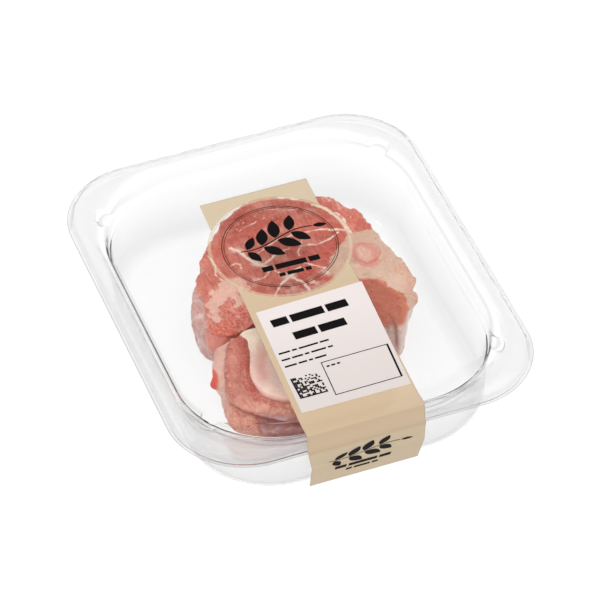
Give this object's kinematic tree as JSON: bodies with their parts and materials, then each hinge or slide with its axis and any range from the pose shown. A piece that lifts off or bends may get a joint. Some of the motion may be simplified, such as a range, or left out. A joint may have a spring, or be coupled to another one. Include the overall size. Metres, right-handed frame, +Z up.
{
  "type": "shut clear pack of pork shank slices",
  "caption": "Clear plastic tub with a press-on lid, holding pork osso buco slices under a folded label band.",
  "frame": {"origin": "middle of the tub's flat base, on the surface that the pack stands on", "axes": "+Z up through the lid, +Y from the label's folded front edge to the back of the pack, +X across the label to its right"},
  "size_m": [0.1448, 0.172, 0.0354],
  "materials": {
    "clear_tub": "thin clear thermoformed plastic, glossy",
    "clear_lid": "thin clear thermoformed plastic, glossy",
    "label": "beige printed film, satin",
    "muscle": "raw pork muscle, moist",
    "fat": "pale raw fat and sinew, moist",
    "bone": "sawn small bone, pink rim and pale centre",
    "knuckle": "pearly joint cartilage, moist"
  },
  "bodies": {
    "root": {"tub": "clear_tub", "lid": "clear_lid", "label_band": "label", "slice_back_muscle": "muscle", "slice_back_fat": "fat", "slice_back_bone": "bone", "slice_front_muscle": "muscle", "slice_front_knuckle": "knuckle"}
  },
  "joints": []
}
